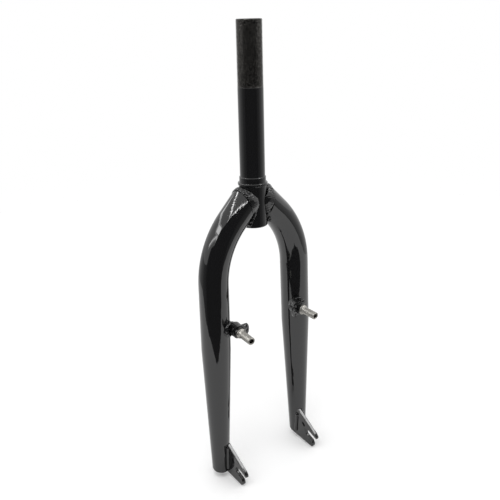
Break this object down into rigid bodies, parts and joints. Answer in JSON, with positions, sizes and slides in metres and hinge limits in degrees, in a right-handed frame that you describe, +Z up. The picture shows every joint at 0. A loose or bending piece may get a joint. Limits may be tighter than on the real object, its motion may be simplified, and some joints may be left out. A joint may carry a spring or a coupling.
{
  "type": "bmx fork",
  "caption": "Gloss black steel BMX fork with a threaded steerer, bent tapered legs, V-brake studs and slotted dropout plates.",
  "frame": {"origin": "on the steerer's axis, at the top face of the shoulder that the crown race sits on", "axes": "+Z up the steerer, -Y forwards, +X to the rider's left"},
  "size_m": [0.1432, 0.0629, 0.4768],
  "materials": {
    "black_paint": "gloss",
    "dark_steel": "turned",
    "bare_steel": "satin"
  },
  "bodies": {
    "root": {"steerer_tube": "black_paint", "leg_left": "black_paint", "leg_right": "black_paint", "leg_cap_left": "black_paint", "leg_cap_right": "black_paint", "dropout_left": "black_paint", "dropout_right": "black_paint", "brake_boss_left": "black_paint", "brake_boss_right": "black_paint", "spring_plate_left": "black_paint", "spring_plate_right": "black_paint", "crown_weld_left": "black_paint", "crown_weld_right": "black_paint", "boss_weld_left": "black_paint", "boss_weld_right": "black_paint", "outer_weld_left": "black_paint", "outer_weld_right": "black_paint", "inner_weld_left": "black_paint", "inner_weld_right": "black_paint", "brake_stud_left": "bare_steel", "brake_stud_right": "bare_steel"}
  },
  "joints": []
}
